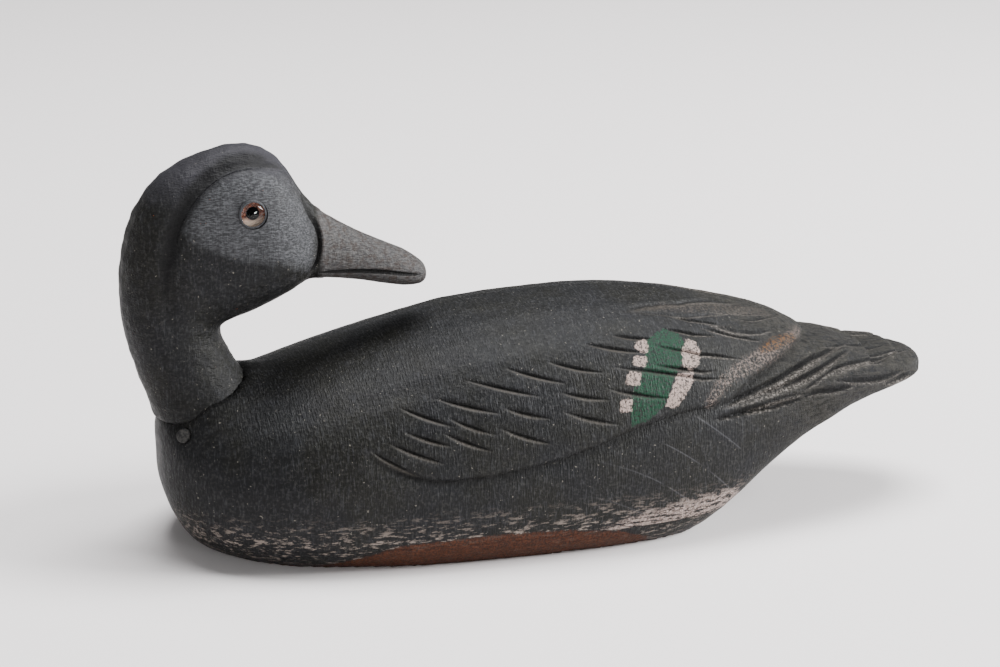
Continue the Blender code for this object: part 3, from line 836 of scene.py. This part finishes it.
def patch(tree, name, ragged, soft):
    """The mask of a patch stored on the carving, with a ragged edge that fades over that many millimetres."""
    edge = add(tree, "Attribute", output=2, attribute_name=name)
    return add(tree, "MapRange", (add(tree, "Math", (edge, ragged), operation="ADD"), 0.0, soft))


def worn_edges(tree, coords):
    """Three patterns of wear: an edge raggedness in millimetres, flecks, and scuffs along the grain."""
    ragged = add(tree, "TexNoise", {"Vector": coords, "Scale": METRE / 1.5, "Detail": 4})
    flecks = add(tree, "TexNoise", {"Vector": coords, "Scale": METRE / 0.9, "Detail": 4, "Roughness": 0.75})
    lengthwise = add(tree, "Mapping", {"Vector": coords, "Scale": (0.25, 0.5, 1)})
    along = add(tree, "TexNoise", {
        "Vector": lengthwise, "Scale": METRE / 1.3, "Detail": 5, "Roughness": 0.72,
    })
    return add(tree, "MapRange", (ragged, 0.0, 1.0, -1.3, 1.3)), flecks, along


def black_coat(tree, coords):
    """Old black decoy paint: brushed flat over carved pine and rubbed by years of handling.

    It reads as charcoal rather than black, drifts a little between bluish and brownish, and keeps
    the brush's fine up-and-down hatch, with dust in its pores. The hatch is drawn 0.6 mm wide, as
    coarse as it needs to show. Gives its colour, roughness and height.
    """
    drift = add(tree, "TexNoise", {"Vector": coords, "Scale": METRE / 30})
    mottle = add(tree, "TexNoise", {"Vector": coords, "Scale": METRE / 4.0, "Detail": 6, "Roughness": 0.7})
    grit = add(tree, "TexNoise", {"Vector": coords, "Scale": METRE / 1.1})
    speck = add(tree, "TexNoise", {"Vector": coords, "Scale": METRE / 1.3})
    bristles = add(tree, "Mapping", {"Vector": coords, "Scale": (1, 0.16, 0.16)})
    hatch = add(tree, "TexNoise", {"Vector": bristles, "Scale": METRE / 0.6})
    lengthwise = add(tree, "Mapping", {"Vector": coords, "Scale": (0.2, 0.6, 1), "Rotation": (0, 0.4, 0)})
    cross = add(tree, "TexNoise", {"Vector": lengthwise, "Scale": METRE / 1.0, "Detail": 3})
    coat = brush_over(
        tree, colour("0f1012"),
        (colour("11110e"), (drift, 0.40, 0.60)),
        (colour("222225"), (mottle, 0.48, 0.75, 0.0, 0.6)),
        (colour("393a3d"), (hatch, 0.54, 0.74, 0.0, 0.45)),
        (colour("060607"), (cross, 0.55, 0.72, 0.0, 0.6)),
        (colour("050505"), (grit, 0.52, 0.64, 0.0, 0.45)),
        (colour("454442"), (grit, 0.46, 0.34, 0.0, 0.2)),
        (colour("6a665f"), (speck, 0.71, 0.75, 0.0, 0.8)),
    )
    height = add(tree, "Math", (grit, -0.6, hatch), operation="MULTIPLY_ADD")
    height = add(tree, "Math", (mottle, 0.2, height), operation="MULTIPLY_ADD")
    height = add(tree, "Math", (cross, 0.35, height), operation="MULTIPLY_ADD")
    return coat, add(tree, "MapRange", (mottle, 0.3, 0.7, 0.48, 0.66)), height


def lay_on(tree, shader, coat, rough, height, depth, shine=0.16):
    """Gives the shader its colour, its roughness, a relief of that many millimetres and its shine."""
    relief = add(tree, "Bump", {"Height": height, "Distance": depth * MM, "Strength": 1.0})
    for value, socket in ((coat, "Base Color"), (rough, "Roughness"), (relief, "Normal")):
        tree.links.new(value, shader.inputs[socket])
    shader.inputs["Specular IOR Level"].default_value = shine


def red_coat(tree, coat, ragged, flecks, along):
    """The old red-brown board paint, where the black has rubbed off it above the flat bottom.

    Gives the coat with the red on it, and how much red shows.
    """
    rubbed = add(tree, "MapRange", (along, 0.30, 0.40, 0.1, 1.0))
    share = add(tree, "Math", (patch(tree, "redcoat", ragged, 1.0), rubbed), operation="MULTIPLY")
    red = brush_over(tree, colour("24140d"), (colour("4f2a17"), (flecks, 0.42, 0.66)))
    return brush_over(tree, coat, (red, share)), share


def hull_paint():
    """Black decoy paint on the top block, with its speculum, worn edges and bare wood.

    Brushed on in one coat over primer. Green and white show as crisp patches with black grinning
    through, and the tail, the cuts' lower walls and the bottom edge are rubbed pale. The cuts and the
    step under the wing are painted with shade, and the cuts' lower walls with a highlight as well.
    """
    mat, tree, shader, coords = new_finish("black decoy paint over carved pine")
    coat, rough, height = black_coat(tree, coords)
    ragged, flecks, along = worn_edges(tree, coords)
    cuts, lips, ledges, wing, tail, stern = (
        add(tree, "Attribute", output=2, attribute_name=name)
        for name in ("cuts", "lips", "ledges", "wing", "tail", "stern")
    )
    x, z = (add(tree, "SeparateXYZ", (coords,), output=axis) for axis in (0, 2))

    # Long thin scratches sweep over the rear flank
    sweep = add(tree, "Mapping", {"Vector": coords, "Location": (-0.02, 0, 0.05), "Scale": (1, 0.2, 1)})
    rings = add(tree, "TexWave", {
        "Vector": sweep, "Scale": 22, "Distortion": 0.8, "Detail": 1, "Detail Scale": 0.6,
    }, output=1, wave_type="RINGS", rings_direction="Y")
    breaks = add(tree, "TexNoise", {"Vector": coords, "Scale": METRE / 14})
    coat = brush_over(
        tree, coat,
        (colour("56565a"), (rings, 0.994, 1.0, 0.0, 0.3), (breaks, 0.4, 0.5), (wing, -1.0, -4.0),
         (x, 0.035, 0.07), (x, 0.125, 0.11)),
        # Painted shade: near black is laid in the cuts and under the wing's step. The cuts' lower walls,
        # which face the light, are rubbed pale and also laid lighter as a painted highlight
        (colour("090909"), (ledges, 0.45, 0.8, 0.0, 0.85)),
        (colour("0a0a0a"), (cuts, 0.15, 0.7, 0.0, 0.9)),
        (colour("403c37"), lips, (flecks, 0.34, 0.58, 0.3, 0.95)),
        # The tail is rubbed to a warm grey, and so is a patch of the rump
        (colour("34322e"), tail, (along, 0.38, 0.66, 0.0, 0.8), (cuts, 0.35, 0.1)),
        # Behind the wing the cuts' lower walls carry pale grey flecks: rubbed paint, and a painted highlight
        # where they face the light
        (colour("8b8580"), lips, (x, 0.08, 0.10), (flecks, 0.50, 0.57, 0.0, 0.7)),
        (colour("47413c"), patch(tree, "rump", ragged, 2.5), (flecks, 0.47, 0.60, 0.0, 0.75)),
        # Speculum: thin green with the black grinning through, between two rows of white
        (colour("08301f"), patch(tree, "speculum", ragged, 0.4), (cuts, 0.8, 0.4),
         (flecks, 0.465, 0.50, 0.1, 1.0)),
        (colour("8f7f78"), patch(tree, "bars", ragged, 0.4), (cuts, 1.0, 0.7),
         (flecks, 0.455, 0.475, 0.1, 1.0)),
        # The wing's end has lost its paint, down to pinkish primer and a patch of bare orange wood
        (colour("6a5e58"), patch(tree, "worn", ragged, 2.4), (flecks, 0.48, 0.58, 0.0, 0.85)),
        (colour("553717"), patch(tree, "bare", ragged, 1.2), (flecks, 0.49, 0.60)),
    )

    # Red-brown board paint shows low down, under whitish scuffs that are heaviest at the stern
    coat, red = red_coat(tree, coat, ragged, flecks, along)
    stern = add(tree, "Math", (ragged, 1.5, stern), operation="MULTIPLY_ADD")
    stern = add(tree, "MapRange", (stern, -1.0, 3.0))
    chalk = brush_over(tree, colour("6a5a53"), (colour("b0a099"), (flecks, 0.42, 0.58)))
    low = add(tree, "Math", (ragged, 0.003, z), operation="MULTIPLY_ADD")
    coat = brush_over(
        tree, coat,
        (chalk, stern, (along, 0.44, 0.52)),
        (colour("837870"), (low, 0.025, 0.012), (along, 0.53, 0.60), (red, 0.5, 0.2, 0.1, 0.85)),
    )
    rough = add(tree, "Math", (tail, 0.12, rough), operation="MULTIPLY_ADD")
    wear = add(tree, "Math", (tail, stern), operation="MAXIMUM")
    wear = add(tree, "Math", (wear, along), operation="MULTIPLY")
    height = add(tree, "Math", (wear, 4.5, height), operation="MULTIPLY_ADD")
    lay_on(tree, shader, coat, rough, height, 0.32)
    return mat


def head_paint():
    """The same black on the head, thinner and paler over the cheek, with painted shade in the valley behind
    it.

    Brushed over knife-cut pine, so the cheek and bill keep fine strokes, with orange wood in a few chips.
    """
    mat, tree, shader, coords = new_finish("black decoy paint on the carved head")
    coat, rough, height = black_coat(tree, coords)
    strokes = add(tree, "Mapping", {"Vector": coords, "Scale": (0.3, 0.6, 1), "Rotation": (0, 1.3, 0)})
    knife = add(tree, "TexNoise", {"Vector": strokes, "Scale": METRE / 0.55, "Detail": 3})
    upright = add(tree, "Mapping", {"Vector": coords, "Scale": (1, 1, 0.3), "Rotation": (0, 0.35, 0)})
    brush = add(tree, "TexNoise", {"Vector": upright, "Scale": METRE / 0.6, "Detail": 3})
    chips = add(tree, "TexNoise", {"Vector": coords, "Scale": METRE / 2.2, "Detail": 3, "Roughness": 0.7})
    ragged = add(tree, "TexNoise", {"Vector": coords, "Scale": METRE / 3.0, "Detail": 5})
    valley, cuts, bill = (
        add(tree, "Attribute", output=2, attribute_name=name) for name in ("valley", "cuts", "bill")
    )
    pale = brush_over(
        tree, colour("2b2c2e"),
        (colour("505154"), (knife, 0.40, 0.68)),
        (colour("1c1c1e"), (brush, 0.54, 0.72, 0.0, 0.35)),
    )
    horn = brush_over(
        tree, colour("333233"),
        (colour("545352"), (knife, 0.38, 0.70)),
        (colour("30251f"), (chips, 0.46, 0.66, 0.0, 0.7)),
    )
    spread = add(tree, "MapRange", (ragged, 0.0, 1.0, -2.5, 4.5))
    z = add(tree, "SeparateXYZ", (coords,), output=2)
    coat = brush_over(
        tree, coat,
        # Painted sheen: above 137 mm the crown is laid a paler purple-grey
        (colour("36353b"), (z, 0.137, 0.150, 0.0, 0.6)),
        (pale, patch(tree, "cheek", spread, 4.0), 0.85),
        # Painted shade: the valley behind the cheek is laid near black
        (colour("0a0a0b"), (valley, 0.2, 0.8, 0.0, 0.85)),
        (horn, (bill, 0.5, 2.5, 0.0, 0.85)),
        # Painted shade: the bill root and the mouth line are laid near black
        (colour("070707"), (cuts, 0.2, 0.6, 0.0, 0.95)),
        (colour("7a4526"), (chips, 0.735, 0.755, 0.0, 0.85)),
    )
    height = add(tree, "Math", (height, 0.4), operation="MULTIPLY")
    for relief, share in ((knife, 1.2), (brush, 0.4)):
        height = add(tree, "Math", (relief, share, height), operation="MULTIPLY_ADD")
    lay_on(tree, shader, coat, rough, height, 0.35)
    return mat


def board_paint():
    """The bottom board: brushed black over red-brown, rubbed through by the ground and the boat.

    Most of its underside is red-brown, and pale scuffs run along the grain where black is left.
    """
    mat, tree, shader, coords = new_finish("red-brown board paint under worn black")
    coat, rough, height = black_coat(tree, coords)
    ragged, flecks, along = worn_edges(tree, coords)
    coat, red = red_coat(tree, coat, ragged, flecks, along)
    coat = brush_over(tree, coat, (colour("837870"), (along, 0.55, 0.63), (red, 0.5, 0.2, 0.1, 0.7)))
    lay_on(tree, shader, coat, rough, height, 0.32)
    return mat


def plain_finish(name, base, second, size, rough, relief, metallic=0.0, stretch=(1, 1, 1), shine=0.4):
    """A small part's finish: two tones of its colour in patches of that size, with a little relief."""
    mat, tree, shader, coords = new_finish(name)
    placed = add(tree, "Mapping", {"Vector": coords, "Scale": stretch})
    patches = add(tree, "TexNoise", {"Vector": placed, "Scale": METRE / size, "Detail": 5})
    coat = brush_over(tree, colour(base), (colour(second), (patches, 0.38, 0.62)))
    shader.inputs["Metallic"].default_value = metallic
    dullness = add(tree, "MapRange", (patches, 0.3, 0.7, rough - 0.08, rough + 0.08))
    lay_on(tree, shader, coat, dullness, patches, relief, shine)
    return mat


def eye_glass():
    """Blown and ground glass eye: clear, polished, so the paint behind it looks wet."""
    mat, _, shader, _ = new_finish("clear polished eye glass")
    for socket, value in (
        ("Base Color", colour("fbf6f0")), ("Roughness", 0.02), ("IOR", 1.3), ("Transmission Weight", 1.0),
    ):
        shader.inputs[socket].default_value = value
    return mat


def iris_enamel():
    """Fired enamel behind the glass: chestnut brown, with a painted light crescent at the bottom for the
    light that comes through the dome.
    """
    mat, tree, shader, coords = new_finish("chestnut eye enamel")
    z = add(tree, "SeparateXYZ", (coords,), output=2)
    streaks = add(tree, "TexNoise", {"Vector": coords, "Scale": METRE / 0.8, "Detail": 3})
    enamel = brush_over(
        tree, colour("3c1406"),
        (colour("6e2f10"), (streaks, 0.4, 0.6)),
        # Painted light: below 134 mm the iris is laid pale, where light through the dome would fall
        (colour("d9c9bd"), (z, 0.1340, 0.1320)),
    )
    shader.inputs["Specular IOR Level"].default_value = 0.1
    tree.links.new(enamel, shader.inputs["Base Color"])
    return mat


def dress(obj, mat):
    """Gives the piece that finish, and no other."""
    obj.data.materials.clear()
    obj.data.materials.append(mat)


dress(block, hull_paint())
dress(board, board_paint())
dress(head, head_paint())

# Steel wire nails and screws, rusted by salt water: brown over grey, dull
rusted_steel = plain_finish("rusted steel nail", "4b3a30", "6d4a34", 1.2, 0.65, 0.15, metallic=0.6)
# Nail heads painted over with the body's black: a round with soft edges and a rubbed rim
painted_nail = plain_finish("black paint over a nail head", "1b1b1c", "3a3937", 1.0, 0.6, 0.2, shine=0.2)
# Brass wire gone brown: warm metal under a dull skin
brass_wire = plain_finish("dulled brass wire", "8a6f42", "5e4c30", 1.6, 0.42, 0.05, metallic=1.0)
# Lead cast in a tray: soft grey, with a chalky bloom
cast_lead = plain_finish("cast lead", "63666a", "8b8d8f", 5.0, 0.6, 0.2, metallic=0.7)
# A birch dowel, turned and left bare: pale tan with grain along it
birch = plain_finish("bare birch dowel", "b08a5c", "8f6b43", 1.2, 0.75, 0.1, stretch=(1, 1, 0.08))
# Glazier's putty, blackened by the paint: soft and matte round the glass
putty = plain_finish("blackened putty", "242527", "3e3f42", 0.9, 0.6, 0.15, shine=0.2)
# Fired black enamel under the glass: the pupil, so deep that it reads as a hole
pupil = plain_finish("black eye enamel", "020202", "040404", 1.0, 0.5, 0.02, shine=0.0)
# The eyes' stubs: drawn iron wire, browned by damp wood
iron_wire = plain_finish("iron eye wire", "3c3a38", "5a4a3e", 1.0, 0.5, 0.05, metallic=0.9)
by_slot = {
    "eye_glass": eye_glass(), "iris_enamel": iris_enamel(), "pupil_enamel": pupil, "putty": putty,
    "painted_nail": painted_nail,
}
for piece, slot in turned_pieces:
    dress(piece, by_slot[slot])
dress(line_ring, brass_wire)
for name, node in NODES.items():
    for start, mat in (
        ("board_nail", rusted_steel), ("ballast_screw", rusted_steel), ("ballast_weight", cast_lead),
        ("line_tie_staple", brass_wire), ("neck_dowel", birch), ("eye_wire", iron_wire),
    ):
        if name.startswith(start):
            dress(node, mat)


# ---------------------------------------------------------------- studio

bm = bmesh.new()
bmesh.ops.create_grid(bm, x_segments=8, y_segments=8, size=6)
floor = new_object("floor", bm)
# Seamless backdrop paper: pale, warm and quite matte, so it takes only soft shadows
paper, _, shader, _ = new_finish("matte backdrop paper")
shader.inputs["Base Color"].default_value = colour("e8e4e4")
shader.inputs["Roughness"].default_value = 0.9
dress(floor, paper)

# A pale room: dim as a light, so that the softboxes shape the carving, and brighter where it shows
ROOM_LIGHTS, ROOM_SHOWS = 0.2, 0.8
world = bpy.data.worlds.new("soft room")
world.use_nodes = True
room = world.node_tree
background = room.nodes["Background"]
background.inputs["Color"].default_value = colour("eeeeef")
strength = add(room, "MapRange", (add(room, "LightPath"), 0.0, 1.0, ROOM_LIGHTS, ROOM_SHOWS))
room.links.new(strength, background.inputs["Strength"])
bpy.context.scene.world = world


def softbox(name, place, aim, size, power):
    """A rectangular light, turned to what it is aimed at."""
    lamp = bpy.data.lights.new(name, "AREA")
    lamp.shape, lamp.size, lamp.size_y, lamp.energy = "RECTANGLE", *size, power
    obj = bpy.data.objects.new(name, lamp)
    obj.matrix_world = facing(place, Vector(place) - Vector(aim))
    bpy.context.scene.collection.objects.link(obj)


softbox("key", place=(2.0, -0.45, 1.0), aim=(0.05, 0, 0.05), size=(1.0, 0.8), power=135)
softbox("top", place=(0.2, 0.35, 2.3), aim=(0.05, 0.0, 0.0), size=(1.4, 1.2), power=108)
softbox("catchlight", place=(0.85, -1.67, 0.27), aim=(-0.08, 0, 0.13), size=(0.34, 0.34), power=14)
softbox("fill", place=(-1.8, -1.0, 0.9), aim=(-0.1, 0, 0.08), size=(1.0, 0.8), power=8)

# The camera stands a metre off, before the duck's left breast and a little above it
lens = bpy.data.cameras.new("camera")
lens.lens, lens.sensor_width = 90, 36
camera = bpy.data.objects.new("camera", lens)
turn, rise = math.radians(-14), math.radians(17)
back = Vector((math.sin(turn) * math.cos(rise), -math.cos(turn) * math.cos(rise), math.sin(rise)))
target = Vector((0.02, 0, 0.075))
camera.matrix_world = facing(target + back, back)
bpy.context.scene.collection.objects.link(camera)
bpy.context.scene.camera = camera
